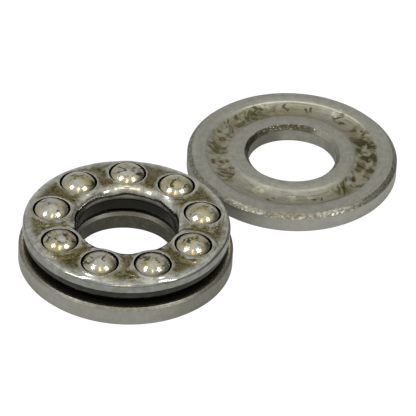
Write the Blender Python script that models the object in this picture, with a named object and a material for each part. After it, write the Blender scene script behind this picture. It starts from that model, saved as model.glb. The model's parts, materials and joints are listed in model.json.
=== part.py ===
"""A single-direction thrust ball bearing, laid out open.

The lower washer lies flat with the cage and its balls on top of it. The other
washer is lifted off and lies beside them, raceway up. The origin is at the
bottom, midway between the two washers, and +X points from the bearing's axis
to the loose washer's axis.
"""

import math

import bmesh
import bpy
from mathutils import Matrix, Vector

MM = 0.001

# The bearing.
OUTER_DIAMETER = 24.0 * MM
SHAFT_WASHER_BORE = 10.0 * MM
HOUSING_WASHER_BORE = 11.0 * MM
CLOSED_HEIGHT = 8.5 * MM
PITCH_DIAMETER = 17.0 * MM
BALL_DIAMETER = 4.762 * MM
BALL_COUNT = 9
FIRST_BALL_ANGLE = math.radians(46.5)

# The raceways and the washers' edges.
GROOVE_RADIUS = 0.54 * BALL_DIAMETER
GROOVE_DEPTH = 0.5 * MM
RUNNING_CLEARANCE = 0.03 * MM
HOUSING_WASHER_OUTER_CHAMFER = 0.3 * MM
SHAFT_WASHER_OUTER_CHAMFER = 0.5 * MM
HOUSING_WASHER_BORE_CHAMFER = 0.35 * MM
SHAFT_WASHER_BORE_CHAMFER = 0.48 * MM
BACK_CHAMFER = 0.25 * MM

# The cage: two pressed sheet halves that meet at a seam, level with the balls' centres.
SHEET = 0.3 * MM
CAGE_INNER_RADIUS = 5.6 * MM
UPPER_SHELL_OUTER_RADIUS = 11.6 * MM
LOWER_SHELL_OUTER_RADIUS = 11.5 * MM
UPPER_OUTER_SHOULDER = 1.1 * MM
UPPER_INNER_SHOULDER = 1.35 * MM
LOWER_SHOULDER = 1.5 * MM
UPPER_OUTER_EDGE_RADIUS = 0.5 * MM
LOWER_OUTER_EDGE_RADIUS = 1.2 * MM
UPPER_INNER_EDGE_RADIUS = 0.95 * MM
LOWER_INNER_EDGE_RADIUS = 0.4 * MM
SEAM_GAP = 0.1 * MM

# The pockets: a ball seat cut through each half, with a raised collar round it.
POCKET_RADIUS = 2.58 * MM
COLLAR_RADIUS = 2.85 * MM
COLLAR_RISE = 0.12 * MM
COLLAR_BOTTOM = 0.7 * MM

# The layout.
GAP_BETWEEN_WASHERS = 2.0 * MM

# Facets. Multiples of four put a corner on each axis.
WASHER_SEGMENTS = 72
CAGE_SEGMENTS = 48
GROOVE_STEPS = 6
EDGE_STEPS = 2
COLLAR_SEGMENTS = 20
COLLAR_STEPS = 1
POCKET_SEGMENTS = 20
POCKET_RINGS = 12
BALL_SUBDIVISIONS = 3
SHARP_ANGLE = math.radians(32.0)

# Derived values.
OUTER_RADIUS = OUTER_DIAMETER / 2
PITCH_RADIUS = PITCH_DIAMETER / 2
BALL_RADIUS = BALL_DIAMETER / 2
BALL_CENTRE_HEIGHT = CLOSED_HEIGHT / 2
GROOVE_FLOOR = BALL_CENTRE_HEIGHT - BALL_RADIUS - RUNNING_CLEARANCE
WASHER_THICKNESS = GROOVE_FLOOR + GROOVE_DEPTH
HALF_SPACING = OUTER_RADIUS + GAP_BETWEEN_WASHERS / 2


def clear_scene():
    for obj in list(bpy.data.objects):
        bpy.data.objects.remove(obj, do_unlink=True)


def make_material(name, colour, roughness):
    material = bpy.data.materials.new(name)
    material.use_nodes = True
    shader = material.node_tree.nodes["Principled BSDF"]
    shader.inputs["Base Color"].default_value = (*colour, 1.0)
    shader.inputs["Roughness"].default_value = roughness
    shader.inputs["Metallic"].default_value = 1.0
    return material


def arc(centre, radius, start, end, steps):
    """Points from angle start to angle end, both in degrees, both included."""
    points = []
    for step in range(steps + 1):
        angle = math.radians(start + (end - start) * step / steps)
        points.append((centre[0] + radius * math.cos(angle), centre[1] + radius * math.sin(angle)))
    return points


def spin_outline(bm, outline, segments, centre=Vector(), closed=True):
    """Turn an outline of (radius, height) points about the vertical line at centre.

    An open outline starts and ends on the line, so the solid closes at both poles.
    """
    verts = [bm.verts.new(centre + Vector((radius, 0.0, height))) for radius, height in outline]
    ends = zip(verts, verts[1:] + verts[:1]) if closed else zip(verts, verts[1:])
    edges = [bm.edges.new(pair) for pair in ends]
    bmesh.ops.spin(
        bm,
        geom=verts + edges,
        cent=centre,
        axis=(0.0, 0.0, 1.0),
        angle=math.tau,
        steps=segments,
        use_merge=True,
    )


def finish_mesh(bm, name):
    """Weld, face outwards, shade smooth between sharp edges, and return the mesh."""
    bmesh.ops.remove_doubles(bm, verts=bm.verts, dist=0.0001 * MM)
    bmesh.ops.recalc_face_normals(bm, faces=bm.faces)
    mesh = bpy.data.meshes.new(name)
    bm.to_mesh(mesh)
    bm.free()
    mesh.shade_smooth()
    mesh.set_sharp_from_angle(angle=SHARP_ANGLE)
    return mesh


def place(name, mesh, parent, location=(0.0, 0.0, 0.0), turn=0.0, material=None):
    obj = bpy.data.objects.new(name, mesh)
    bpy.context.scene.collection.objects.link(obj)
    obj.parent = parent
    obj.location = location
    obj.rotation_euler = (0.0, 0.0, turn)
    if material and not mesh.materials:
        mesh.materials.append(material)
    return obj


def make_axis(name, location):
    axis = bpy.data.objects.new(name, None)
    bpy.context.scene.collection.objects.link(axis)
    axis.empty_display_size = CLOSED_HEIGHT
    axis.location = location
    return axis


def ball_angles():
    return [FIRST_BALL_ANGLE + math.tau * number / BALL_COUNT for number in range(BALL_COUNT)]


def ball_centre(angle):
    return Vector((PITCH_RADIUS * math.cos(angle), PITCH_RADIUS * math.sin(angle), BALL_CENTRE_HEIGHT))


def washer_mesh(name, bore_diameter, bore_chamfer, outer_chamfer):
    """A flat ring with its back at height 0 and a ball groove in its top face."""
    bore = bore_diameter / 2
    top = WASHER_THICKNESS
    half_angle = math.degrees(math.acos(1.0 - GROOVE_DEPTH / GROOVE_RADIUS))
    groove_centre = (PITCH_RADIUS, GROOVE_FLOOR + GROOVE_RADIUS)
    groove = arc(groove_centre, GROOVE_RADIUS, -90.0 + half_angle, -90.0 - half_angle, GROOVE_STEPS)
    outline = [
        (OUTER_RADIUS - BACK_CHAMFER, 0.0),
        (OUTER_RADIUS, BACK_CHAMFER),
        (OUTER_RADIUS, top - outer_chamfer),
        (OUTER_RADIUS - outer_chamfer, top),
        *groove,
        (bore + bore_chamfer, top),
        (bore, top - bore_chamfer),
        (bore, bore_chamfer),
        (bore + bore_chamfer, 0.0),
    ]
    bm = bmesh.new()
    spin_outline(bm, outline, WASHER_SEGMENTS)
    return finish_mesh(bm, name)


def shell_outline(outer_radius, outer_shoulder, inner_shoulder, outer_edge, inner_edge):
    """Section of one pressed half: a plate between two shoulders, with a rounded skirt at each side.

    Heights are measured from the balls' centres, towards the plate.
    """
    skirt_end = SEAM_GAP / 2
    outer_corner = (outer_radius - outer_edge, outer_shoulder - outer_edge)
    inner_corner = (CAGE_INNER_RADIUS + inner_edge, inner_shoulder - inner_edge)
    outside = [
        (outer_radius, skirt_end),
        *arc(outer_corner, outer_edge, 0.0, 90.0, EDGE_STEPS),
        *arc(inner_corner, inner_edge, 90.0, 180.0, EDGE_STEPS),
        (CAGE_INNER_RADIUS, skirt_end),
    ]
    inside = [
        (CAGE_INNER_RADIUS + SHEET, skirt_end),
        *arc(inner_corner, inner_edge - SHEET, 180.0, 90.0, EDGE_STEPS),
        *arc(outer_corner, outer_edge - SHEET, 90.0, 0.0, EDGE_STEPS),
        (outer_radius - SHEET, skirt_end),
    ]
    return outside + inside


def stand_on_balls(outline, side):
    """Heights above the ground for a half on the upper (+1) or lower (-1) side of the balls."""
    return [(radius, BALL_CENTRE_HEIGHT + side * height) for radius, height in outline]


def shell_mesh(name, outline, side):
    bm = bmesh.new()
    spin_outline(bm, stand_on_balls(outline, side), CAGE_SEGMENTS)
    return finish_mesh(bm, name)


def pocket_cutter_mesh():
    """A ball seat at every ball's place."""
    bm = bmesh.new()
    for angle in ball_angles():
        bmesh.ops.create_uvsphere(
            bm,
            u_segments=POCKET_SEGMENTS,
            v_segments=POCKET_RINGS,
            radius=POCKET_RADIUS,
            matrix=Matrix.Translation(ball_centre(angle)),
        )
    return finish_mesh(bm, "pocket_cutters")


def collar_mesh(name, top, side):
    """A slice of a sphere at every ball's place, which the seats hollow into collars."""
    low = math.degrees(math.asin(COLLAR_BOTTOM / COLLAR_RADIUS))
    high = math.degrees(math.asin(top / COLLAR_RADIUS))
    outline = [
        (0.0, side * COLLAR_BOTTOM),
        *[(radius, side * height) for radius, height in arc((0, 0), COLLAR_RADIUS, low, high, COLLAR_STEPS)],
        (0.0, side * top),
    ]
    bm = bmesh.new()
    for angle in ball_angles():
        spin_outline(bm, outline, COLLAR_SEGMENTS, ball_centre(angle), closed=False)
    return finish_mesh(bm, name)


def make_guide(name, mesh, parent):
    """An object that only shapes others."""
    guide = place(name, mesh, parent)
    guide.hide_render = True
    guide.display_type = "WIRE"
    return guide


def add_boolean(obj, operand, operation):
    modifier = obj.modifiers.new(operation.lower(), "BOOLEAN")
    modifier.operation = operation
    modifier.object = operand
    modifier.solver = "EXACT"


def make_cage(axis, material):
    cutters = make_guide("pocket_cutters", pocket_cutter_mesh(), axis)
    halves = {
        "cage_upper_shell": (
            UPPER_SHELL_OUTER_RADIUS,
            UPPER_OUTER_SHOULDER,
            UPPER_INNER_SHOULDER,
            UPPER_OUTER_EDGE_RADIUS,
            UPPER_INNER_EDGE_RADIUS,
            1,
        ),
        "cage_lower_shell": (
            LOWER_SHELL_OUTER_RADIUS,
            LOWER_SHOULDER,
            LOWER_SHOULDER,
            LOWER_OUTER_EDGE_RADIUS,
            LOWER_INNER_EDGE_RADIUS,
            -1,
        ),
    }
    for name, (outer_radius, outer_shoulder, inner_shoulder, outer_edge, inner_edge, side) in halves.items():
        outline = shell_outline(outer_radius, outer_shoulder, inner_shoulder, outer_edge, inner_edge)
        shell = place(name, shell_mesh(name, outline, side), axis, material=material)
        collar_top = inner_shoulder + COLLAR_RISE
        guide_name = name + "_collars"
        collars = make_guide(guide_name, collar_mesh(guide_name, collar_top, side), axis)
        add_boolean(shell, collars, "UNION")
        add_boolean(shell, cutters, "DIFFERENCE")


def make_balls(axis, material):
    bm = bmesh.new()
    bmesh.ops.create_icosphere(bm, subdivisions=BALL_SUBDIVISIONS, radius=BALL_RADIUS)
    mesh = finish_mesh(bm, "ball")
    for number, angle in enumerate(ball_angles(), start=1):
        place(f"ball_{number}", mesh, axis, ball_centre(angle), angle, material)


def main():
    clear_scene()
    ground_steel = make_material("ground_steel", (0.42, 0.42, 0.40), 0.38)
    pressed_steel = make_material("pressed_steel", (0.50, 0.49, 0.46), 0.30)
    polished_steel = make_material("polished_steel", (0.62, 0.61, 0.57), 0.08)

    bearing_axis = make_axis("bearing_axis", (-HALF_SPACING, 0.0, 0.0))
    turnover_axis = make_axis("turnover_axis", (0.0, 0.0, BALL_CENTRE_HEIGHT))

    lower = washer_mesh(
        "lower_washer",
        HOUSING_WASHER_BORE,
        HOUSING_WASHER_BORE_CHAMFER,
        HOUSING_WASHER_OUTER_CHAMFER,
    )
    place("lower_washer", lower, bearing_axis, material=ground_steel)
    make_cage(bearing_axis, pressed_steel)
    make_balls(bearing_axis, polished_steel)
    upper = washer_mesh(
        "upper_washer",
        SHAFT_WASHER_BORE,
        SHAFT_WASHER_BORE_CHAMFER,
        SHAFT_WASHER_OUTER_CHAMFER,
    )
    resting_place = (HALF_SPACING, 0.0, -BALL_CENTRE_HEIGHT)
    place("upper_washer", upper, turnover_axis, resting_place, material=ground_steel)


main()
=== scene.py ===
"""The looks of an opened thrust ball bearing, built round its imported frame."""

import json
import math

import bmesh
import bpy
import numpy as np
from mathutils import Matrix, Vector


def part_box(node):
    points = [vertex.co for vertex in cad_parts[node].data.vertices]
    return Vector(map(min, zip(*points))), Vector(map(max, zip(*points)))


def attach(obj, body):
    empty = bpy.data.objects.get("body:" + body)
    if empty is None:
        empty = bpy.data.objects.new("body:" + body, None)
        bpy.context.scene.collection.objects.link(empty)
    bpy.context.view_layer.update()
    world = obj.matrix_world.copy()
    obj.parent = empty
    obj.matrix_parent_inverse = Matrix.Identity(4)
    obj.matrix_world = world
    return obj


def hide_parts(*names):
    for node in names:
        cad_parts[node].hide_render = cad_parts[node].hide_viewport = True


MM = 0.001

# The camera.
CAMERA_AZIMUTH = math.radians(-45.4)
CAMERA_PITCH = math.radians(37.15)
CAMERA_ROLL = math.radians(2.86)
CAMERA_DISTANCE = 675.7 * MM
CAMERA_LENS = 519.2
CAMERA_SENSOR = 36.0
CAMERA_CLIP = (0.01, 10.0)
CAMERA_TARGET = Vector((-1.72, -1.46, 2.5)) * MM

# The washers. A ball's groove is a little wider in section than the ball, and a fillet
# takes FILLET_MOST of an edge at the most.
WASHER_SEGMENTS = 360
HOUSING_WASHER_OUTER_CHAMFER = 0.3 * MM
SHAFT_WASHER_OUTER_CHAMFER = 0.5 * MM
HOUSING_WASHER_BORE_CHAMFER = 0.35 * MM
SHAFT_WASHER_BORE_CHAMFER = 0.48 * MM
BACK_CHAMFER = 0.25 * MM
EDGE_FILLET = 0.07 * MM
RUNNING_CLEARANCE = 0.03 * MM
GROOVE_TO_BALL = 1.08
GROOVE_STEPS = 24
FILLET_STEPS = 4
FILLET_MOST = 0.45

# The cage: a sheet with a circle of pockets. A lip round each pocket is level for LIP_LAND,
# then falls LIP_STEP_SHARE of its rise within LIP_STEP, and the rest within LIP_SLOPE from
# the middle of that step. Its top falls outwards by LIP_TILT.
SHEET = 0.3 * MM
POCKET_PLAY = 0.199 * MM
LIP_TILT = 0.034
LIP_LAND = 0.26 * MM
LIP_STEP = 0.22 * MM
LIP_STEP_SHARE = 0.45
LIP_SLOPE = 0.62 * MM
UPPER_SHOULDERS = (1.1 * MM, 1.35 * MM)
LOWER_SHOULDERS = (1.5 * MM, 1.5 * MM)
EDGE_BEVEL = 0.05 * MM
EDGE_BEVEL_SEGMENTS = 3
EDGE_BEVEL_ANGLE = math.radians(50)
UPPER_OUTER_EDGE_RADIUS = 0.5 * MM
UPPER_INNER_EDGE_RADIUS = 0.95 * MM
LOWER_OUTER_EDGE_RADIUS = 1.2 * MM
LOWER_INNER_EDGE_RADIUS = 0.4 * MM
OUTER_EDGE_STEPS = 24
INNER_EDGE_STEPS = 32
POCKET_SPOKES = 96
SIDE_SPOKES = 18
POCKET_RINGS = 26
RING_CROWDING = 1.6
WALL_SEARCH_STEPS = 40

# The balls.
BALL_SEGMENTS = 96

# Every lathed or pressed mesh.
WELD_DISTANCE = 0.0005 * MM
SHARP_ANGLE = math.radians(40)

# Colours of grease and oil. Some also serve as painted shade, painted reflection or painted highlight.
# Dark grease; also painted shade under the cage and painted dark reflection on the balls.
DARK_GREASE_AND_SHADE = (0.055, 0.048, 0.020)
BROWN_GREASE = (0.170, 0.145, 0.060)
STREAK_GREASE = (0.060, 0.050, 0.018)
HOOK_GREASE = (0.092, 0.076, 0.028)
CAUGHT_GREASE = (0.036, 0.031, 0.016)
OIL_TINT = (0.400, 0.360, 0.210)
GROOVE_FILM = (0.385, 0.340, 0.195)
BALL_FILM = (0.470, 0.410, 0.210)
# Painted shade on the balls under the pocket's lip.
BALL_LIP_SHADE = (0.235, 0.205, 0.100)
# A painted highlight near the seated washer's rim, tinted as oil.
RIM_OIL_HIGHLIGHT = (0.740, 0.630, 0.400)

# Colours of steel. A pair is its dark and its light.
# A painted highlight for sparkles, for glints on worn nicks, and on each pocket's worn rim.
PAINTED_HIGHLIGHT = (0.800, 0.790, 0.740)
# Painted highlights on glossy grease on the loose washer.
PAINTED_GLINT = (0.950, 0.900, 0.720)
LOOSE_STEEL = ((0.355, 0.350, 0.308), (0.475, 0.470, 0.420))
SEATED_STEEL = ((0.310, 0.305, 0.275), (0.420, 0.415, 0.380))
CAGE_STEEL = ((0.350, 0.345, 0.305), (0.640, 0.635, 0.590))
BALL_STEEL = ((0.450, 0.440, 0.380), (0.570, 0.560, 0.500))
STEEL_GRAIN = ((0.220, 0.215, 0.180), (0.660, 0.650, 0.610))
# Painted shade on the washers' outer chamfers.
LOOSE_CHAMFER = ((0.120, 0.110, 0.070), (0.170, 0.165, 0.135))
SEATED_CHAMFER = ((0.100, 0.095, 0.060), (0.170, 0.165, 0.140))
# Painted light on the washers' sides, and painted shadow on one side of each.
LOOSE_SIDE = (0.580, 0.590, 0.590)
SEATED_SIDE = (0.560, 0.570, 0.560)
SIDE_SHADE = (0.200, 0.195, 0.165)
# Bore tones. The walls and the seated washer's bore chamfers carry painted shade; the loose washer's bore
# edge is only darkened all round.
LOOSE_BORE = ((0.130, 0.125, 0.100), (0.160, 0.150, 0.110))
SEATED_BORE = ((0.075, 0.072, 0.052), (0.095, 0.095, 0.072))
# Painted shade and painted dark reflection on the cage, its lower shell and its pockets.
CAGE_SKIRT_SHADE = (0.030, 0.034, 0.024)
CAGE_WALL_SHADE = (0.220, 0.250, 0.260)
CAGE_EDGE_REFLECTION = (0.100, 0.100, 0.090)
CAGE_LOWER_SHADE = 0.15
POCKET_SHADE = (0.020, 0.018, 0.012)

# Places on the surfaces, in millimetres. On a washer a pair is an inner and an outer radius.
FILM = (7.35, 9.65)
STREAKS = (7.45, 9.65)
STREAK_LIMITS = (7.3, 9.8)
ARCS = (7.3, 9.9)
# The next three: a painted highlight line at the groove's far edge, the end of the painted shade under the
# cage, and a painted highlight line near the rim.
GROOVE_EDGE = (9.86, 10.02)
SHADE_UNDER_CAGE_TO = (11.40, 11.55)
OIL_HIGHLIGHT_LINE = (11.52, 11.72)

# On the cage the first four are radii from the bearing's axis, and the rest are
# distances from the nearest ball's centre.
# The skirt, wall and edge line ranges carry painted shade or painted reflection; the lip rim is wear with a
# painted highlight.
CAGE_SKIRT_TO = (5.6, 6.0)
CAGE_FLAT = (6.5, 10.6)
CAGE_WALL_FROM = (11.42, 11.52)
CAGE_EDGE_LINE = (11.40, 11.47)
LIP_RIM = (2.10, 2.20)
VALLEY_FROM = (2.20, 2.60)
POOL_FROM = (2.35, 2.70)
CLOTS_FROM = (2.3, 2.7)
LIP_FOOT = (2.55, 3.05)

# Marks on the loose washer: hooks of grease, and glints, which are painted highlights on glossy
# grease. A mark is its direction in degrees (0 is right, 90 is away from the camera), its radius
# and its size in millimetres.
HOOKS = (
    (118.0, 9.0, 1.00),
    (93.0, 9.0, 0.85),
    (79.0, 9.0, 0.60),
    (53.0, 9.0, 1.00),
    (31.0, 9.0, 0.90),
    (-105.0, 8.8, 0.60),
    (-70.0, 8.4, 0.80),
)
PAINTED_GLINT_SPOTS = (
    (112.0, 9.5, 0.75),
    (58.0, 9.6, 0.90),
    (-119.0, 7.9, 0.85),
    (-89.0, 8.1, 0.55),
    (-74.0, 8.1, 0.50),
)

# The studio. A light is its direction from the camera's, its height above the
# level, its width and height, its power and its colour.
WHITE = (1.0, 1.0, 1.0)
BACKDROP_STRENGTH = 1.05
FLOOR_SIZE = 2.0
FLOOR_GAP = 0.02 * MM
FLOOR_COLOUR = (0.66, 0.66, 0.64)
TENT_NEAR = (0.86, 0.86, 0.83)
TENT_FAR = (0.57, 0.57, 0.54)
TENT_TOP = (0.84, 0.84, 0.80)
TENT_RIGHT_SHADE = (0.10, 0.10, 0.085)
TENT_NEAR_SHADE = (0.30, 0.31, 0.30)
TENT_STRIP = (0.08, 0.075, 0.04)
LIGHT_DISTANCE = 0.6
LIGHTS = {
    "left_softbox": (-62, 49, (0.10, 0.15), 0.62, WHITE),
    "right_softbox": (56, 50, (0.10, 0.15), 0.62, WHITE),
    "camera_lamp": (0, 53, (0.07, 0.22), 0.20, (1.0, 0.75, 0.43)),
}


# ---------------------------------------------------------------- the frame

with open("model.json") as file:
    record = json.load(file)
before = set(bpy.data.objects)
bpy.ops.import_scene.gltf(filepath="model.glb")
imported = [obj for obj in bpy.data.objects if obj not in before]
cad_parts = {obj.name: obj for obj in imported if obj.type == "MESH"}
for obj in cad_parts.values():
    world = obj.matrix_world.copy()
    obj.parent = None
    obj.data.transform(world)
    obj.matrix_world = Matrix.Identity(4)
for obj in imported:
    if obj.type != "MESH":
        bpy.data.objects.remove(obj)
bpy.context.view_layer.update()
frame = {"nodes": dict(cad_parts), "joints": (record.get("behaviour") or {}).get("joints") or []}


def joint(name):
    return next(entry for entry in frame["joints"] if entry["name"] == name)


def middle(node):
    low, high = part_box(node)
    return (low + high) / 2


def ring_sizes(node):
    """Bore radius, outer radius, bottom and top of a ring-shaped CAD node."""
    centre = middle(node)
    points = np.array([v.co for v in frame["nodes"][node].data.vertices]) - np.array(centre)
    radii = np.hypot(points[:, 0], points[:, 1])
    low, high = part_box(node)
    return radii.min(), radii.max(), low.z, high.z


BALLS = [entry["child"] for entry in frame["joints"] if entry["child"].startswith("ball_")]
BEARING_AXIS = Vector(joint("lower_washer_spin")["pos_m"])
BALL_CENTRES = [Vector(joint(name + "_roll")["pos_m"]) for name in BALLS]
BALL_RADIUS = (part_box(BALLS[0])[1].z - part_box(BALLS[0])[0].z) / 2
BALL_HEIGHT = BALL_CENTRES[0].z
PITCH_RADIUS = (BALL_CENTRES[0] - BEARING_AXIS).to_2d().length
BALL_ANGLES = [math.atan2(c.y - BEARING_AXIS.y, c.x - BEARING_AXIS.x) for c in BALL_CENTRES]
SECTOR = math.tau / len(BALLS)


# ---------------------------------------------------------------- node graphs


class Graph:
    """A short way to write a material's nodes."""

    def __init__(self, tree):
        self.nodes = tree.nodes
        self.links = tree.links

    def node(self, kind, inputs=None, **settings):
        made = self.nodes.new("ShaderNode" + kind)
        for key, value in settings.items():
            setattr(made, key, value)
        for key, value in (inputs or {}).items():
            self.feed(made.inputs[key], value)
        return made

    def feed(self, socket, value):
        if isinstance(value, bpy.types.NodeSocket):
            self.links.new(value, socket)
        else:
            socket.default_value = value

    def math(self, operation, *values, clamp=False):
        made = self.node("Math", operation=operation, use_clamp=clamp)
        for socket, value in zip(made.inputs, values):
            self.feed(socket, value)
        return made.outputs[0]

    def vector_math(self, operation, *values):
        made = self.node("VectorMath", operation=operation)
        for socket, value in zip(made.inputs, values):
            self.feed(socket, value)
        return made

    def step(self, value, low, high):
        """0 below low, 1 above high, smooth between them."""
        inputs = {"Value": value, "From Min": low, "From Max": high}
        return self.node("MapRange", inputs, interpolation_type="SMOOTHSTEP", clamp=True).outputs["Result"]

    def remap(self, value, from_low, from_high, to_low, to_high):
        """From one range to another, straight, and held within it."""
        inputs = {
            "Value": value,
            "From Min": from_low,
            "From Max": from_high,
            "To Min": to_low,
            "To Max": to_high,
        }
        return self.node("MapRange", inputs, clamp=True).outputs["Result"]

    def band(self, value, low, high, soft):
        """1 between low and high, falling to 0 over soft on each side."""
        rise = self.step(value, low - soft, low + soft)
        fall = self.step(value, high - soft, high + soft)
        return self.math("SUBTRACT", rise, fall, clamp=True)

    def noise(self, vector, scale, detail=3.0, roughness=0.5, distortion=0.0, w=None):
        """Noise from 0 to 1. Another w gives another pattern."""
        inputs = {
            "Vector": vector,
            "Scale": scale,
            "Detail": detail,
            "Roughness": roughness,
            "Distortion": distortion,
        }
        if w is None:
            return self.node("TexNoise", inputs, noise_dimensions="3D").outputs["Fac"]
        inputs["W"] = w
        return self.node("TexNoise", inputs, noise_dimensions="4D").outputs["Fac"]

    def blend(self, factor, first, second):
        """Between two colours."""
        made = self.node("Mix", data_type="RGBA", clamp_factor=True)
        self.feed(made.inputs[0], factor)
        for socket, value in ((made.inputs[6], first), (made.inputs[7], second)):
            self.feed(socket, value if isinstance(value, bpy.types.NodeSocket) else (*value, 1.0))
        return made.outputs[2]

    def lerp(self, factor, first, second):
        """Between two numbers."""
        made = self.node("Mix", data_type="FLOAT", clamp_factor=True)
        self.feed(made.inputs[0], factor)
        self.feed(made.inputs[2], first)
        self.feed(made.inputs[3], second)
        return made.outputs[0]

    def combine(self, x, y, z):
        return self.node("CombineXYZ", {"X": x, "Y": y, "Z": z}).outputs[0]

    def bump(self, height, distance):
        return self.node("Bump", {"Height": height, "Distance": distance, "Strength": 1.0}).outputs[0]

    def scale(self, vector, factor):
        made = self.node("VectorMath", {"Vector": vector, "Scale": factor}, operation="SCALE")
        return made.outputs[0]

    def face_camera(self, vector):
        """A vector turned about Z so that +X is the camera's right and +Y points away from it."""
        inputs = {"Vector": vector, "Angle": -CAMERA_AZIMUTH}
        return self.node("VectorRotate", inputs, rotation_type="Z_AXIS").outputs[0]

    def split(self, vector):
        return self.node("SeparateXYZ", {"Vector": vector}).outputs

    def around_axis(self):
        """The piece's own coordinates in millimetres, facing the camera, and round the piece's axis."""
        point = self.face_camera(self.scale(self.node("TexCoord").outputs["Object"], 1.0 / MM))
        right, away, height = self.split(point)
        flat = self.combine(right, away, 0.0)
        radius = self.vector_math("LENGTH", flat).outputs["Value"]
        direction = self.vector_math("NORMALIZE", flat).outputs[0]
        return {
            "point": point,
            "right": right,
            "away": away,
            "z": height,
            "radius": radius,
            "direction": direction,
            "turn": self.math("ARCTAN2", away, right),
        }

    def sway(self, value, noise, amount):
        """A value pushed to and fro by a noise that runs from 0 to 1."""
        return self.math("ADD", value, self.math("MULTIPLY", self.math("SUBTRACT", noise, 0.5), amount))

    def inverse(self, value):
        return self.math("SUBTRACT", 1.0, value, clamp=True)

    def either(self, *values):
        """The strongest of several masks."""
        strongest = values[0]
        for value in values[1:]:
            strongest = self.math("MAXIMUM", strongest, value)
        return strongest

    def both(self, *values):
        """Several masks multiplied together."""
        product = values[0]
        for value in values[1:]:
            product = self.math("MULTIPLY", product, value)
        return product

    def facing(self, place, clock, half_width, soft):
        """1 within half_width degrees of a direction, 0 beyond soft degrees more.

        Directions are in degrees: 0 is right and 90 is away from the camera.
        """
        aim = math.radians(clock)
        pointer = (math.cos(aim), math.sin(aim), 0.0)
        towards = self.vector_math("DOT_PRODUCT", place["direction"], pointer)
        inner = math.cos(math.radians(half_width))
        outer = math.cos(math.radians(half_width + soft))
        return self.step(towards.outputs["Value"], outer, inner)

    def spot(self, place, clock, radius, size, wobble):
        """A ragged patch of a size in millimetres at a direction and a radius."""
        aim = math.radians(clock)
        centre = (radius * math.cos(aim), radius * math.sin(aim), 0.0)
        flat = self.combine(place["right"], place["away"], 0.0)
        reach = self.vector_math("DISTANCE", flat, centre).outputs["Value"]
        ragged = self.sway(reach, wobble, size * 2.4)
        return self.inverse(self.step(ragged, size * 0.55, size))

    def threads(self, vector, scale, width, seed, distortion=0.5, detail=2.0):
        """Thin wandering lines."""
        noise = self.noise(vector, scale, detail=detail, roughness=0.55, distortion=distortion, w=seed)
        off = self.math("ABSOLUTE", self.math("SUBTRACT", noise, 0.5))
        return self.inverse(self.step(off, width * 0.3, width))

    def backdrop(self, lit, kind):
        """Plain white to the camera, and the shader lit to everything else."""
        white = self.node(kind, {"Color": (*WHITE, 1.0), "Strength": BACKDROP_STRENGTH})
        mix = self.node("MixShader")
        self.feed(mix.inputs[0], self.node("LightPath").outputs["Is Camera Ray"])
        self.links.new(lit.outputs[0], mix.inputs[1])
        self.links.new(white.outputs[0], mix.inputs[2])
        return mix.outputs[0]

    def pocket_distance(self, place):
        """Millimetres from the nearest ball's centre, level and in space, for the cage."""
        angle = self.math("ADD", place["turn"], CAMERA_AZIMUTH - BALL_ANGLES[0] + SECTOR / 2)
        local = self.math("SUBTRACT", self.math("FLOORED_MODULO", angle, SECTOR), SECTOR / 2)
        outward = self.math("MULTIPLY", place["radius"], self.math("COSINE", local))
        along = self.math("SUBTRACT", outward, PITCH_RADIUS / MM)
        across = self.math("MULTIPLY", place["radius"], self.math("SINE", local))
        level = self.vector_math("LENGTH", self.combine(along, across, 0.0)).outputs["Value"]
        space = self.vector_math("LENGTH", self.combine(along, across, place["z"])).outputs["Value"]
        return level, space

    def turned_lines(self, place, across, along, seed):
        """Noise drawn out along the circles that a lathe or a grinder leaves."""
        spread = self.scale(place["direction"], along)
        lift = self.combine(0.0, 0.0, self.math("MULTIPLY", place["radius"], across))
        vector = self.vector_math("ADD", spread, lift).outputs[0]
        w = self.math("ADD", self.math("MULTIPLY", place["z"], across), seed)
        return self.noise(vector, 1.0, detail=2.0, roughness=0.6, w=w)


def scaled(colour, factor):
    return tuple(factor * value for value in colour)


def new_material(name):
    """A material with its Principled shader, and a Graph to write the rest with."""
    material = bpy.data.materials.new(name)
    material.use_nodes = True
    return material, Graph(material.node_tree), material.node_tree.nodes["Principled BSDF"]


def ground_base(g, place, steel):
    """Colour, roughness and height of ground steel: turned lines over mottled grain."""
    grain_dark, grain_light = STEEL_GRAIN
    lines = g.turned_lines(place, 20.0, 2.5, 3.0)
    mottle = g.noise(place["point"], 1.3, detail=6.0, roughness=0.65)
    grain = g.noise(place["point"], 11.0, detail=4.0, roughness=0.7)
    tone = g.math("ADD", g.math("MULTIPLY", lines, 0.45), g.math("MULTIPLY", mottle, 0.55))
    colour = g.blend(g.step(tone, 0.38, 0.62), *steel)
    colour = g.blend(g.both(g.step(grain, 0.56, 0.68), 0.50), colour, grain_light)
    colour = g.blend(g.both(g.step(grain, 0.46, 0.34), 0.48), colour, grain_dark)
    roughness = g.remap(grain, 0.3, 0.7, 0.38, 0.52)
    height = g.math("ADD", g.math("MULTIPLY", lines, 0.6), g.math("MULTIPLY", grain, 0.4))
    return colour, roughness, height


def finish_metal(g, shader, colour, roughness, normal):
    g.feed(shader.inputs["Base Color"], colour)
    g.feed(shader.inputs["Metallic"], 1.0)
    g.feed(shader.inputs["Roughness"], roughness)
    g.feed(shader.inputs["Normal"], normal)


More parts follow.
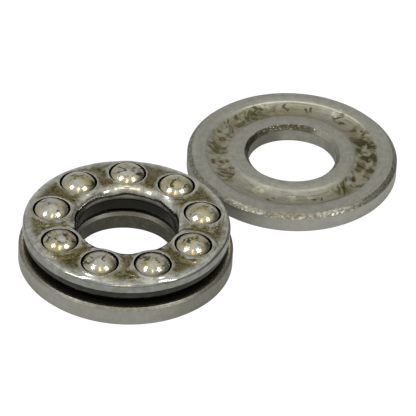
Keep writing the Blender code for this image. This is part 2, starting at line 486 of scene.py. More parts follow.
def chamfer_shade_and_glints(g, place, outer, top, chamfer, clock, half_width):
    """Masks of the outer chamfer, in painted shade; of the bright speckles along it, worn nicks
    with painted glints on the side given; and of its patchy painted shade.
    """
    band = g.both(
        g.step(place["radius"], outer - chamfer - 0.06, outer - chamfer + 0.02),
        g.step(place["z"], top - chamfer - 0.08, top - chamfer),
    )
    rim_length = g.math("MULTIPLY", place["turn"], outer)
    along = g.combine(rim_length, g.math("MULTIPLY", place["z"], 2.2), 0.0)
    nicks = g.noise(along, 2.4, detail=4.0, roughness=0.7, w=8.0)
    glint_side = g.facing(place, clock, half_width, 12.0)
    low_half = g.step(place["radius"], outer - chamfer * 0.55, outer - chamfer * 0.30)
    speckles = g.both(band, low_half, glint_side, g.step(nicks, 0.54, 0.62), 0.42)
    patchy_shade = g.both(band, g.inverse(g.step(nicks, 0.44, 0.56)))
    return band, speckles, patchy_shade


def loose_washer_steel(name, bore, outer, top):
    """Ground steel with grease combed across the groove where the balls ran."""
    material, g, shader = new_material(name)
    place = g.around_axis()
    colour, roughness, height = ground_base(g, place, LOOSE_STEEL)
    wobble = g.noise(place["point"], 1.4, detail=4.0, roughness=0.6, w=5.0)
    face = g.step(place["z"], top - 0.8, top - 0.6)
    groove = g.both(g.band(place["radius"], *FILM, 0.6), face)

    # A brown film on the groove, thickest to the left and right.
    film_area = g.either(
        g.facing(place, 150.0, 60.0, 25.0),
        g.facing(place, -12.0, 42.0, 20.0),
        g.both(g.facing(place, -95.0, 35.0, 30.0), 0.45),
        g.both(g.facing(place, 75.0, 30.0, 25.0), 0.55),
    )
    film = g.both(groove, film_area, g.step(wobble, 0.36, 0.60))
    colour = g.blend(g.both(film, 0.75), colour, GROOVE_FILM)

    # Combed streaks: short wavy lines across the groove, fine to the left and broad to the right.
    swirl = g.noise(place["point"], 0.55, detail=2.0, roughness=0.5, w=2.0)
    slant = g.math("ADD", g.math("MULTIPLY", swirl, 2.4), g.math("MULTIPLY", place["radius"], 0.5))
    bent = g.math("ADD", g.math("MULTIPLY", place["turn"], PITCH_RADIUS / MM), slant)

    def comb(along, across, width, seed):
        """Lines across the groove; along and across are how closely the noise is packed."""
        around = g.math("MULTIPLY", bent, along)
        vector = g.combine(around, g.math("MULTIPLY", place["radius"], across), 0.0)
        return g.threads(vector, 1.0, width, seed, distortion=0.25, detail=2.5)

    fine_comb = comb(1.25, 0.30, 0.085, 1.7)
    broad_comb = comb(0.80, 0.15, 0.075, 4.1)
    halo = comb(0.80, 0.15, 0.16, 4.1)
    far_left = g.both(g.facing(place, 120.0, 12.0, 8.0), 0.8)
    left_area = g.both(g.either(g.facing(place, 168.0, 44.0, 12.0), far_left), face)
    right_area = g.both(g.facing(place, -6.0, 40.0, 10.0), face)
    comb_area = g.either(left_area, right_area)
    patchy = g.step(g.noise(place["point"], 0.9, detail=3.0, roughness=0.5, w=9.0), 0.38, 0.52)
    combed = g.either(g.both(left_area, fine_comb, 0.75), g.both(right_area, broad_comb))
    stray = g.noise(place["point"], 1.0, detail=2.0, roughness=0.5, w=12.0)
    ragged = g.sway(place["radius"], stray, 3.2)
    reach = g.both(g.band(ragged, *STREAKS, 0.45), g.band(place["radius"], *STREAK_LIMITS, 0.25))
    streaks = g.both(reach, patchy, combed)
    colour = g.blend(g.both(reach, comb_area, patchy, 0.45), colour, BROWN_GREASE)
    colour = g.blend(g.both(reach, right_area, patchy, halo, 0.50), colour, BROWN_GREASE)
    colour = g.blend(g.both(streaks, 0.90), colour, STREAK_GREASE)

    # Single hooks of grease.
    hooks = g.either(*(g.spot(place, *hook, wobble) for hook in HOOKS))
    hooks = g.both(hooks, face, g.threads(place["point"], 0.62, 0.11, 2.6, distortion=0.9))
    colour = g.blend(g.both(hooks, 0.88), colour, HOOK_GREASE)

    # Painted highlights: glossy spots of grease painted pale, and a painted highlight line along
    # the groove's far edge.
    glint_highlights = g.either(*(g.spot(place, *glint, wobble) for glint in PAINTED_GLINT_SPOTS))
    broken = g.step(g.noise(place["point"], 2.4, detail=3.0, w=4.4), 0.42, 0.58)
    glint_highlights = g.both(glint_highlights, face, g.inverse(hooks), broken)
    painted_edge_line = g.both(g.band(place["radius"], *GROOVE_EDGE, 0.05), g.facing(place, 82.0, 36.0, 14.0), face)
    colour = g.blend(g.both(g.either(glint_highlights, painted_edge_line), 0.45), colour, PAINTED_GLINT)

    # Thin arcs left by the balls, towards the camera and, fainter, away from it.
    arc_turn = g.math("MULTIPLY", place["turn"], 1.2)
    arc_vector = g.combine(arc_turn, g.math("MULTIPLY", place["radius"], 5.5), 0.0)
    arcs = g.both(
        g.threads(arc_vector, 1.0, 0.035, 4.0),
        g.band(place["radius"], *ARCS, 0.2),
        face,
        g.either(g.facing(place, -92.0, 38.0, 12.0), g.both(g.facing(place, 88.0, 45.0, 12.0), 0.7)),
    )
    colour = g.blend(g.both(arcs, 0.75), colour, BROWN_GREASE)

    # The bore's top edge, darkened all round, grease caught at its far edge, and painted sparkle
    # highlights at its far side.
    wall_shade, bore_edge_dark = LOOSE_BORE
    bore_edge = g.both(
        g.inverse(g.step(g.math("ADD", place["radius"], g.both(wobble, 0.3)), bore + 0.58, bore + 0.68)),
        g.step(place["z"], top - 0.62, top - 0.42),
    )
    thickness = g.lerp(g.step(wobble, 0.36, 0.50), 0.7, 1.0)
    caught = g.both(bore_edge, g.facing(place, 118.0, 46.0, 36.0), thickness)
    specks = g.step(g.noise(place["point"], 6.0, detail=3.0, roughness=0.7, w=3.0), 0.60, 0.67)
    sparkle = g.both(bore_edge, specks, g.facing(place, 92.0, 28.0, 16.0), 0.8)
    colour = g.blend(g.both(bore_edge, 0.45), colour, bore_edge_dark)
    colour = g.blend(g.both(caught, 0.90), colour, CAUGHT_GREASE)
    colour = g.blend(sparkle, colour, PAINTED_HIGHLIGHT)

    # The outer chamfer in painted shade, with worn nicks that carry painted glints towards the front.
    deep_shade, shaded = LOOSE_CHAMFER
    chamfer = SHAFT_WASHER_OUTER_CHAMFER / MM
    band, speckles, patchy_shade = chamfer_shade_and_glints(g, place, outer, top, chamfer, -97.0, 46.0)
    colour = g.blend(g.both(band, 0.50), colour, shaded)
    colour = g.blend(g.both(patchy_shade, 0.72), colour, deep_shade)

    # The side, lightened with painted light and darker at the left with painted shadow, and the
    # bore's wall in painted shade, heaviest at both sides.
    side_wall = g.step(place["radius"], outer - 0.03, outer - 0.01)
    colour = g.blend(g.both(side_wall, 0.40), colour, LOOSE_SIDE)
    side_left = g.both(side_wall, g.facing(place, -150.0, 20.0, 24.0), 0.6)
    colour = g.blend(side_left, colour, SIDE_SHADE)
    bore_wall = g.inverse(g.step(place["radius"], bore + 0.03, bore + 0.10))
    bore_wall = g.both(bore_wall, g.inverse(bore_edge))
    right_shade = g.both(g.facing(place, 5.0, 30.0, 20.0), 0.55)
    bore_wall_shade = g.either(g.facing(place, 160.0, 40.0, 25.0), right_shade, 0.12)
    colour = g.blend(g.both(bore_wall, bore_wall_shade, 0.6), colour, wall_shade)
    colour = g.blend(speckles, colour, PAINTED_HIGHLIGHT)

    shiny = g.either(glint_highlights, speckles, sparkle, g.both(streaks, 0.3))
    roughness = g.lerp(shiny, roughness, 0.2)
    relief = g.math("ADD", g.math("MULTIPLY", height, 0.10), g.both(g.either(streaks, hooks), 0.7))
    finish_metal(g, shader, colour, roughness, g.bump(relief, 0.06 * MM))
    return material


def seated_washer_steel(name, bore, outer, top):
    """Ground steel whose top, where the cage and balls run, is darkened with painted shade under the cage.
    """
    material, g, shader = new_material(name)
    place = g.around_axis()
    colour, roughness, height = ground_base(g, place, SEATED_STEEL)
    wobble = g.noise(place["point"], 1.6, detail=4.0, roughness=0.6, w=1.0)
    # Painted shade on the top under the cage, in the colour of dark grease.
    edge = g.sway(place["radius"], wobble, 0.5)
    shade_under_cage = g.both(g.inverse(g.step(edge, *SHADE_UNDER_CAGE_TO)), g.step(place["z"], top * 0.55, top * 0.65))
    shade_under_cage = g.both(shade_under_cage, g.step(place["radius"], bore + 0.55, bore + 0.75))
    colour = g.blend(g.both(shade_under_cage, 0.88), colour, DARK_GREASE_AND_SHADE)

    # A painted gold highlight near the rim, tinted as oil, and painted shade on the chamfer.
    rim_highlight = g.band(place["radius"], *OIL_HIGHLIGHT_LINE, 0.04)
    rim_highlight = g.both(rim_highlight, g.step(place["z"], top - 0.1, top - 0.05), g.step(wobble, 0.40, 0.55))
    colour = g.blend(g.both(rim_highlight, 0.8), colour, RIM_OIL_HIGHLIGHT)
    deep_shade, shaded = SEATED_CHAMFER
    chamfer = HOUSING_WASHER_OUTER_CHAMFER / MM
    band, speckles, patchy_shade = chamfer_shade_and_glints(g, place, outer, top, chamfer, -150.0, 4.0)
    colour = g.blend(g.both(band, 0.60), colour, shaded)
    colour = g.blend(g.both(patchy_shade, 0.35), colour, deep_shade)

    # The side, lightened with painted light, and darker at the right with painted shade.
    side_wall = g.step(place["radius"], outer - 0.03, outer - 0.01)
    colour = g.blend(g.both(side_wall, 0.30), colour, SEATED_SIDE)
    side_right = g.both(side_wall, g.facing(place, -25.0, 20.0, 30.0), 0.45)
    colour = g.blend(side_right, colour, SIDE_SHADE)
    colour = g.blend(speckles, colour, PAINTED_HIGHLIGHT)

    # The bore's wall and its chamfers, darkened with painted shade, most on the chamfers at the far side.
    bore_edge_dark, wall_shade = SEATED_BORE
    bore_wall = g.inverse(g.step(place["radius"], bore + 0.05, bore + 0.10))
    shade_depth = g.lerp(g.step(wobble, 0.4, 0.6), 0.75, 0.9)
    colour = g.blend(g.both(bore_wall, shade_depth), colour, wall_shade)
    bore_edge = g.both(g.inverse(g.step(place["radius"], bore + 0.38, bore + 0.42)), g.inverse(bore_wall))
    far_edge = g.lerp(g.facing(place, 70.0, 35.0, 25.0), 0.60, 0.85)
    colour = g.blend(g.both(bore_edge, far_edge), colour, bore_edge_dark)
    roughness = g.lerp(g.either(rim_highlight, speckles), roughness, 0.2)
    finish_metal(g, shader, colour, roughness, g.bump(height, 0.012 * MM))
    return material


def pressed_steel(name, shade):
    """Satin sheet with oil in the valleys between the pockets, rims worn bright by the balls and
    given a painted highlight, painted shade on the skirt, the outer wall and inside the pockets,
    and a painted dark reflection along the outer edge.

    Shade darkens the bare sheet: 1 leaves it as it is.
    """
    material, g, shader = new_material(name)
    place = g.around_axis()
    level, space = g.pocket_distance(place)
    mottle = g.noise(place["point"], 1.1, detail=5.0, roughness=0.6)
    grain = g.noise(place["point"], 7.0, detail=5.0, roughness=0.65)
    wobble = g.noise(place["point"], 1.5, detail=5.0, roughness=0.65, w=6.0)
    dark, light = (scaled(tone, shade) for tone in CAGE_STEEL)
    colour = g.blend(g.step(mottle, 0.30, 0.70), dark, light)
    colour = g.blend(g.both(g.step(grain, 0.54, 0.66), 0.35), colour, scaled(light, 1.25))

    # Oil lies in the valleys, on the flat between the rounded edges.
    broad = g.noise(place["point"], 0.42, detail=3.0, roughness=0.5, distortion=0.6, w=6.5)
    drift = g.math("ADD", g.math("MULTIPLY", broad, 0.75), g.math("MULTIPLY", wobble, 0.25))
    valley_reach = g.sway(level, drift, 2.2)
    flat = g.both(g.band(place["radius"], *CAGE_FLAT, 0.5), g.step(place["z"], 0.5, 0.9))
    valley = g.both(g.step(valley_reach, *VALLEY_FROM), flat)
    colour = g.blend(g.both(valley, 0.85), colour, OIL_TINT)
    pool = g.both(g.step(valley_reach, *POOL_FROM), flat, g.step(drift, 0.37, 0.50))
    colour = g.blend(g.both(pool, 0.88), colour, BROWN_GREASE)
    clots = g.both(g.step(wobble, 0.56, 0.64), g.step(valley_reach, *CLOTS_FROM), flat)
    strings = g.both(g.threads(place["point"], 0.8, 0.035, 3.3, distortion=1.1, detail=3.0), valley)
    colour = g.blend(g.both(g.either(strings, clots), 0.85), colour, DARK_GREASE_AND_SHADE)

    # Painted shade on the skirt and the outer wall, a painted dark reflection along the outer edge,
    # a pale ring on each rim, worn by the balls and given a painted highlight, and painted shade
    # inside the pocket.
    inside = g.inverse(g.step(place["radius"], *CAGE_SKIRT_TO))
    skirt_shade = g.both(inside, g.inverse(g.step(place["z"], 0.0, 0.65)))
    colour = g.blend(g.both(skirt_shade, 0.90), colour, CAGE_SKIRT_SHADE)
    outer_wall = g.step(place["radius"], *CAGE_WALL_FROM)
    colour = g.blend(g.both(outer_wall, 0.55), colour, scaled(CAGE_WALL_SHADE, shade))
    painted_edge_line = g.both(g.band(place["radius"], *CAGE_EDGE_LINE, 0.03), g.step(place["z"], 0.3, 0.5))
    colour = g.blend(g.both(painted_edge_line, 0.6), colour, CAGE_EDGE_REFLECTION)
    rim_highlight = g.both(g.band(level, *LIP_RIM, 0.05), g.step(place["z"], 0.9, 1.1))
    colour = g.blend(g.both(rim_highlight, 0.55), colour, PAINTED_HIGHLIGHT)
    pocket = (BALL_RADIUS + POCKET_PLAY) / MM
    pocket_wall = g.inverse(g.step(space, pocket - 0.045, pocket - 0.02))
    colour = g.blend(g.both(pocket_wall, 0.92), colour, POCKET_SHADE)

    glossy = g.both(valley, g.step(grain, 0.52, 0.60))
    roughness = g.remap(grain, 0.3, 0.7, 0.13, 0.22)
    roughness = g.lerp(g.both(glossy, 0.7), roughness, 0.10)
    roughness = g.lerp(pocket_wall, roughness, 0.6)

    # Broad dents, ridges at the foot of each lip, grain, and ripples in the oil.
    dents = g.noise(place["point"], 0.55, detail=1.0, roughness=0.4, w=2.2)
    relief = g.math("ADD", dents, g.both(valley, wobble, 0.45))
    foot = g.both(g.band(level, *LIP_FOOT, 0.2), flat)
    ridges = g.noise(place["point"], 1.3, detail=1.5, roughness=0.45, distortion=1.2, w=3.7)
    relief = g.math("ADD", relief, g.both(foot, ridges, 1.5))
    relief = g.math("ADD", relief, g.math("MULTIPLY", grain, 0.05))
    ripple = g.noise(place["point"], 2.2, detail=2.0, roughness=0.5, distortion=0.8, w=1.5)
    relief = g.math("ADD", relief, g.both(valley, ripple, 0.55))
    finish_metal(g, shader, colour, roughness, g.bump(relief, 0.11 * MM))
    return material


def polished_steel(name):
    """Bright balls under a thin film of oil, with dark wandering smears on top, part grease and
    part painted reflection, and painted shade under the pocket's lip.
    """
    material, g, shader = new_material(name)
    place = g.around_axis()
    tag = g.math("MULTIPLY", g.node("ObjectInfo").outputs["Random"], 40.0)
    smear = g.noise(place["point"], 0.75, detail=5.0, roughness=0.6, distortion=0.8, w=tag)
    fine = g.noise(place["point"], 3.5, detail=4.0, roughness=0.65, w=tag)
    colour = g.blend(g.step(fine, 0.35, 0.65), *BALL_STEEL)
    colour = g.blend(g.both(g.step(smear, 0.42, 0.58), 0.85), colour, BALL_FILM)

    # Painted shade: an olive ring near the pocket's edge, under its lip, heaviest to the right.
    ragged = g.sway(place["z"], smear, 1.6)
    strength = g.lerp(g.facing(place, -15.0, 50.0, 50.0), 0.35, 0.85)
    ring = g.both(g.step(ragged, 1.75, 1.25), strength)
    colour = g.blend(ring, colour, BALL_LIP_SHADE)

    # Smears, part grease and part painted reflection of the dark room, lie on the upper part as
    # the camera sees it, drawn out level.
    lift = g.math(
        "ADD",
        g.math("MULTIPLY", place["away"], math.sin(CAMERA_PITCH)),
        g.math("MULTIPLY", place["z"], math.cos(CAMERA_PITCH)),
    )
    drawn = g.combine(g.math("MULTIPLY", place["right"], 0.75), g.math("MULTIPLY", lift, 1.25), 0.0)
    strings = g.threads(drawn, 0.80, 0.045, tag, distortion=0.7, detail=2.0)
    patch_tag = g.math("ADD", tag, 7.0)
    patches = g.step(g.noise(place["point"], 0.8, detail=2.0, roughness=0.5, w=patch_tag), 0.44, 0.52)
    upper = g.both(g.band(lift, 0.75, 2.1, 0.35), g.step(place["z"], -0.5, 0.5))
    strings = g.both(strings, patches, upper)
    colour = g.blend(g.both(strings, 0.95), colour, DARK_GREASE_AND_SHADE)
    roughness = g.lerp(strings, g.remap(fine, 0.35, 0.65, 0.07, 0.13), 0.3)
    relief = g.math("ADD", g.math("MULTIPLY", smear, 0.9), g.math("MULTIPLY", fine, 0.45))
    finish_metal(g, shader, colour, roughness, g.bump(relief, 0.045 * MM))
    return material


# ---------------------------------------------------------------- shapes


def arc(centre, radius, start, end, steps):
    """Points from angle start to angle end, both in radians, both included."""
    angles = [start + (end - start) * step / steps for step in range(steps + 1)]
    return [Vector((centre[0] + radius * math.cos(a), centre[1] + radius * math.sin(a))) for a in angles]


def fillet(before, corner, after, radius):
    """Points that round a corner between two straight edges."""
    inward = (before - corner).normalized()
    outward = (after - corner).normalized()
    half = inward.angle(outward) / 2
    shorter = min((before - corner).length, (after - corner).length)
    reach = min(radius / math.tan(half), FILLET_MOST * shorter)
    start = corner + inward * reach
    end = corner + outward * reach
    points = []
    for step in range(FILLET_STEPS + 1):
        t = step / FILLET_STEPS
        points.append(start * (1 - t) ** 2 + corner * 2 * t * (1 - t) + end * t * t)
    return points


def lathe(outline, segments):
    """Corners and faces of a closed outline of (radius, height) points turned about Z."""
    count = len(outline)
    turns = np.arange(segments) * math.tau / segments
    section = np.array([tuple(p) for p in outline])
    points = np.zeros((segments, count, 3))
    points[:, :, 0] = np.cos(turns)[:, None] * section[None, :, 0]
    points[:, :, 1] = np.sin(turns)[:, None] * section[None, :, 0]
    points[:, :, 2] = section[None, :, 1]
    faces = []
    for turn in range(segments):
        here, ahead = turn * count, (turn + 1) % segments * count
        for step in range(count):
            after = (step + 1) % count
            faces.append((here + step, ahead + step, ahead + after, here + after))
    return points.reshape(-1, 3), faces


def welded_mesh(name, points, faces):
    mesh = bpy.data.meshes.new(name)
    mesh.from_pydata([tuple(p) for p in points], [], faces)
    bm = bmesh.new()
    bm.from_mesh(mesh)
    bmesh.ops.remove_doubles(bm, verts=bm.verts, dist=WELD_DISTANCE)
    bmesh.ops.recalc_face_normals(bm, faces=bm.faces)
    bm.to_mesh(mesh)
    bm.free()
    mesh.shade_smooth()
    mesh.set_sharp_from_angle(angle=SHARP_ANGLE)
    return mesh


def put_in_place(mesh, node, body, location, material):
    """An object of the mesh that takes a CAD node's place and rides on its body."""
    mesh.materials.append(material)
    piece = bpy.data.objects.new(mesh.name, mesh)
    bpy.context.scene.collection.objects.link(piece)
    piece.location = location
    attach(piece, body)
    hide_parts(node)
    return piece


def washer_outline(bore, outer, thickness, bore_chamfer, outer_chamfer):
    """Section of a washer with filleted chamfers and a ball groove in its top."""
    floor = BALL_HEIGHT - BALL_RADIUS - RUNNING_CLEARANCE
    groove_radius = GROOVE_TO_BALL * BALL_RADIUS
    depth = thickness - floor
    half = math.acos(1.0 - depth / groove_radius)
    middle_angle = -math.pi / 2
    groove_centre = (PITCH_RADIUS, floor + groove_radius)
    groove = arc(groove_centre, groove_radius, middle_angle + half, middle_angle - half, GROOVE_STEPS)
    corners = [
        (Vector((outer - BACK_CHAMFER, 0.0)), EDGE_FILLET),
        (Vector((outer, BACK_CHAMFER)), EDGE_FILLET),
        (Vector((outer, thickness - outer_chamfer)), EDGE_FILLET),
        (Vector((outer - outer_chamfer, thickness)), EDGE_FILLET),
        (groove[0], 0.0),
        (groove[-1], 0.0),
        (Vector((bore + bore_chamfer, thickness)), EDGE_FILLET),
        (Vector((bore, thickness - bore_chamfer)), EDGE_FILLET),
        (Vector((bore, bore_chamfer)), EDGE_FILLET),
        (Vector((bore + bore_chamfer, 0.0)), EDGE_FILLET),
    ]
    outline = []
    for index, (corner, radius) in enumerate(corners):
        before = corners[index - 1][0]
        after = corners[(index + 1) % len(corners)][0]
        if corner is groove[0]:
            outline += groove
        elif corner is not groove[-1]:
            outline += fillet(before, corner, after, radius)
    return outline


def make_washer(node, bore_chamfer, outer_chamfer, make_steel):
    bore, outer, bottom, top = ring_sizes(node)
    thickness = top - bottom
    material = make_steel(node + "_steel", bore / MM, outer / MM, thickness / MM)
    outline = washer_outline(bore, outer, thickness, bore_chamfer, outer_chamfer)
    mesh = welded_mesh(node + "_finish", *lathe(outline, WASHER_SEGMENTS))
    centre = middle(node)
    put_in_place(mesh, node, node, (centre.x, centre.y, bottom), material)


def meridian(inner, outer, outer_edge, inner_edge, skirt_end, shoulders):
    """Arc lengths, radii and heights along a cage half, from its outer skirt to its inner one."""
    outer_top, inner_top = shoulders
    path = [Vector((outer, skirt_end))]
    outer_centre = (outer - outer_edge, outer_top - outer_edge)
    path += arc(outer_centre, outer_edge, 0.0, math.pi / 2, OUTER_EDGE_STEPS)
    inner_centre = (inner + inner_edge, inner_top - inner_edge)
    path += arc(inner_centre, inner_edge, math.pi / 2, math.pi, INNER_EDGE_STEPS)
    path.append(Vector((inner, skirt_end)))
    points = np.array([tuple(p) for p in path])
    lengths = np.concatenate([[0.0], np.cumsum(np.linalg.norm(np.diff(points, axis=0), axis=1))])
    return lengths, points


def ease(share):
    """0 below 0, 1 above 1, smooth between them."""
    share = np.clip(share, 0.0, 1.0)
    return share * share * (3 - 2 * share)


def make_shell(node, side, shoulders, outer_edge, inner_edge, material):
    """One pressed half of the cage: a sheet along a meridian, with a lipped pocket at each ball.

    Side is 1 for the upper half and -1 for the lower one. A place on the sheet is s, the
    length along the meridian, and turn, the angle from the nearest ball.
    """
    inner, outer, bottom, cad_top = ring_sizes(node)
    lip_top = (cad_top - BALL_HEIGHT) if side > 0 else (BALL_HEIGHT - bottom)
    skirt_end = (bottom - BALL_HEIGHT) if side > 0 else (BALL_HEIGHT - cad_top)
    lengths, path = meridian(inner, outer, outer_edge, inner_edge, skirt_end, shoulders)
    total = lengths[-1]
    centre_s = np.interp(-PITCH_RADIUS, -path[:, 0], lengths)
    pocket_radius = BALL_RADIUS + POCKET_PLAY
    opening = math.sqrt(pocket_radius**2 - lip_top**2)

    def along_path(s):
        return np.interp(s, lengths, path[:, 0]), np.interp(s, lengths, path[:, 1])

    def to_points(s, turn, inward):
        """Points of the sheet's outside, or of its inside when inward is the sheet's thickness."""
        radius, height = along_path(s)
        step = total * 1e-4
        ahead_r, ahead_z = along_path(s + step)
        behind_r, behind_z = along_path(s - step)
        dr, dz = ahead_r - behind_r, ahead_z - behind_z
        size = np.hypot(dr, dz)
        normal_r, normal_z = dz / size, -dr / size
        flat = np.hypot((radius * np.cos(turn) - PITCH_RADIUS), radius * np.sin(turn))
        step_down = ease((flat - opening - LIP_LAND) / LIP_STEP)
        slope_down = ease((flat - opening - LIP_LAND - LIP_STEP / 2) / LIP_SLOPE)
        share = 1 - LIP_STEP_SHARE * step_down - (1 - LIP_STEP_SHARE) * slope_down
        rise = np.maximum(lip_top + LIP_TILT * (PITCH_RADIUS - radius) - height, 0.0)
        lift = rise * share * np.clip(normal_z, 0.0, 1.0)
        radius = radius - normal_r * inward
        height = height - normal_z * inward + lift
        return np.stack([radius * np.cos(turn), radius * np.sin(turn), height], axis=-1)

    # Where each spoke from the pocket's centre meets the sector's border. The spokes at the
    # corners are fixed, and opposite sides have as many spokes, so that the sectors weld.
    spokes = np.arange(POCKET_SPOKES)
    half_way = POCKET_SPOKES / 2
    corner_spokes = [0, SIDE_SPOKES, half_way, half_way + SIDE_SPOKES, POCKET_SPOKES]
    border_s = np.interp(spokes, corner_spokes, [0, 0, 1, 1, 0]) * total
    border_turn = np.interp(spokes, corner_spokes, [-1, 1, 1, -1, -1]) * SECTOR / 2

    def rim_share(inward):
        """How far along each spoke the pocket's wall lies, found by halving."""
        near = np.zeros(POCKET_SPOKES)
        far = np.ones(POCKET_SPOKES)
        for _ in range(WALL_SEARCH_STEPS):
            half = (near + far) / 2
            s = centre_s + (border_s - centre_s) * half
            turn = border_turn * half
            p = to_points(s, turn, inward) - np.array([PITCH_RADIUS, 0.0, 0.0])
            outside = np.linalg.norm(p, axis=-1) > pocket_radius
            far = np.where(outside, half, far)
            near = np.where(outside, near, half)
        return far

    def sheet_rings(inward):
        start = rim_share(inward)
        rings = []
        for ring in range(POCKET_RINGS + 1):
            t = (ring / POCKET_RINGS) ** RING_CROWDING
            along = start + (1 - start) * t
            rings.append(to_points(centre_s + (border_s - centre_s) * along, border_turn * along, inward))
        return rings

    # One sector, from the inside's border to the wall and on to the outside's border.
    stack = np.array(sheet_rings(SHEET)[::-1] + sheet_rings(0.0))
    ring_count = len(stack)
    points, faces = [], []
    for number, angle in enumerate(BALL_ANGLES):
        turned = np.array(Matrix.Rotation(angle, 3, "Z")) @ stack.reshape(-1, 3).T
        points.append(turned.T)
        base = number * stack.shape[0] * stack.shape[1]
        for ring in range(ring_count - 1):
            for spoke in range(POCKET_SPOKES):
                after = (spoke + 1) % POCKET_SPOKES
                low, high = base + ring * POCKET_SPOKES, base + (ring + 1) * POCKET_SPOKES
                faces.append((low + spoke, low + after, high + after, high + spoke))
        for spoke in range(POCKET_SPOKES):
            after = (spoke + 1) % POCKET_SPOKES
            ends = {border_s[spoke], border_s[after]}
            if ends in ({0.0}, {total}):
                low, high = base, base + (ring_count - 1) * POCKET_SPOKES
                faces.append((low + after, low + spoke, high + spoke, high + after))
    points = np.concatenate(points)
    points[:, 2] *= side
    mesh = welded_mesh(node + "_finish", points, faces)
    location = (BEARING_AXIS.x, BEARING_AXIS.y, BALL_HEIGHT)
    piece = put_in_place(mesh, node, "cage", location, material)
    bevel = piece.modifiers.new("edges", "BEVEL")
    bevel.width = EDGE_BEVEL
    bevel.segments = EDGE_BEVEL_SEGMENTS
    bevel.limit_method = "ANGLE"
    bevel.angle_limit = EDGE_BEVEL_ANGLE


def make_balls(material):
    rows = BALL_SEGMENTS // 2
    for name, centre in zip(BALLS, BALL_CENTRES):
        mesh = bpy.data.meshes.new(name + "_finish")
        bm = bmesh.new()
        bmesh.ops.create_uvsphere(bm, u_segments=BALL_SEGMENTS, v_segments=rows, radius=BALL_RADIUS)
        bm.to_mesh(mesh)
        bm.free()
        mesh.shade_smooth()
        put_in_place(mesh, name, name, centre, material)


# ---------------------------------------------------------------- the studio


def make_camera():
    data = bpy.data.cameras.new("camera")
    data.lens = CAMERA_LENS
    data.sensor_width = CAMERA_SENSOR
    data.clip_start, data.clip_end = CAMERA_CLIP
    camera = bpy.data.objects.new("camera", data)
    bpy.context.scene.collection.objects.link(camera)
    turn = Matrix.Rotation(CAMERA_AZIMUTH, 4, "Z")
    tilt = Matrix.Rotation(math.pi / 2 - CAMERA_PITCH, 4, "X")
    roll = Matrix.Rotation(CAMERA_ROLL, 4, "Z")
    facing = turn @ tilt @ roll
    place = CAMERA_TARGET + facing @ Vector((0.0, 0.0, CAMERA_DISTANCE))
    camera.matrix_world = Matrix.Translation(place) @ facing
    bpy.context.scene.camera = camera


def make_floor():
    """A pale floor that the pieces reflect, and that the camera sees as white as the backdrop."""
    size = FLOOR_SIZE
    mesh = bpy.data.meshes.new("floor")
    corners = [(-size, -size, 0.0), (size, -size, 0.0), (size, size, 0.0), (-size, size, 0.0)]
    mesh.from_pydata(corners, [], [(0, 1, 2, 3)])
    floor = bpy.data.objects.new("floor", mesh)
    bpy.context.scene.collection.objects.link(floor)
    floor.location.z = -FLOOR_GAP
    material, g, shader = new_material("floor")
    g.feed(shader.inputs["Base Color"], (*FLOOR_COLOUR, 1.0))
    g.feed(shader.inputs["Roughness"], 0.9)
    g.feed(g.nodes["Material Output"].inputs["Surface"], g.backdrop(shader, "Emission"))
    mesh.materials.append(material)


def make_light(name, azimuth, elevation, size, power, colour):
    """A softbox that faces the object. Azimuth counts from the camera's and elevation from the level."""
    data = bpy.data.lights.new(name, "AREA")
    data.shape = "RECTANGLE"
    data.size, data.size_y = size
    data.energy = power
    data.color = colour
    light = bpy.data.objects.new(name, data)
    bpy.context.scene.collection.objects.link(light)
    a, e = CAMERA_AZIMUTH + math.radians(azimuth), math.radians(elevation)
    direction = Vector((math.sin(a) * math.cos(e), -math.cos(a) * math.cos(e), math.sin(e)))
    light.location = direction * LIGHT_DISTANCE
    light.rotation_euler = direction.to_track_quat("Z", "Y").to_euler()


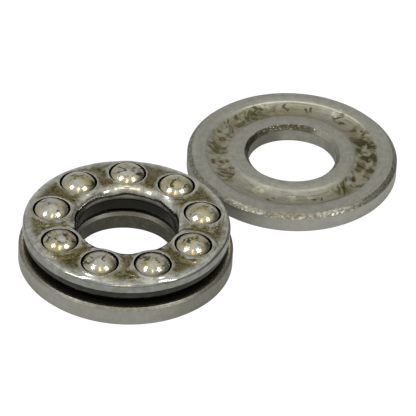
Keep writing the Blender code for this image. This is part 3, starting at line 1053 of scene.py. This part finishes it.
def make_world():
    """A pale tent, darker low down at the right and near the camera, with a broken dark strip far off."""
    world = bpy.data.worlds.new("studio")
    bpy.context.scene.world = world
    world.use_nodes = True
    g = Graph(world.node_tree)
    g.nodes.clear()
    turned = g.face_camera(g.node("TexCoord").outputs["Generated"])
    right, away, lift = g.split(turned)
    tent = g.blend(g.step(away, -0.5, 0.6), TENT_NEAR, TENT_FAR)
    tent = g.blend(g.step(lift, 0.75, 1.0), tent, TENT_TOP)
    low_right = g.both(g.step(right, 0.35, 0.75), g.inverse(g.step(lift, 0.35, 0.65)))
    tent = g.blend(g.both(low_right, 0.8), tent, TENT_RIGHT_SHADE)
    near_low = g.both(g.step(away, -0.15, -0.6), g.inverse(g.step(lift, 0.20, 0.75)))
    tent = g.blend(g.both(near_low, 0.75), tent, TENT_NEAR_SHADE)
    broken = g.noise(turned, 3.2, detail=3.0, roughness=0.6, distortion=1.0)
    strip = g.both(g.step(away, 0.2, 0.45), g.band(lift, 0.60, 0.82, 0.06), g.step(broken, 0.50, 0.56))
    tent = g.blend(g.both(strip, 0.85), tent, TENT_STRIP)
    soft = g.node("Background", {"Color": tent, "Strength": 1.0})
    g.node("OutputWorld", {"Surface": g.backdrop(soft, "Background")})


def make_studio():
    make_camera()
    make_floor()
    make_world()
    for name, settings in LIGHTS.items():
        make_light(name, *settings)
    bpy.context.scene.view_settings.view_transform = "Standard"


# ---------------------------------------------------------------- the bearing

make_washer("lower_washer", HOUSING_WASHER_BORE_CHAMFER, HOUSING_WASHER_OUTER_CHAMFER, seated_washer_steel)
make_washer("upper_washer", SHAFT_WASHER_BORE_CHAMFER, SHAFT_WASHER_OUTER_CHAMFER, loose_washer_steel)
make_shell(
    "cage_upper_shell",
    1,
    UPPER_SHOULDERS,
    UPPER_OUTER_EDGE_RADIUS,
    UPPER_INNER_EDGE_RADIUS,
    pressed_steel("cage_steel", 1.0),
)
make_shell(
    "cage_lower_shell",
    -1,
    LOWER_SHOULDERS,
    LOWER_OUTER_EDGE_RADIUS,
    LOWER_INNER_EDGE_RADIUS,
    pressed_steel("cage_shaded_steel", CAGE_LOWER_SHADE),
)
make_balls(polished_steel("ball_steel"))
make_studio()
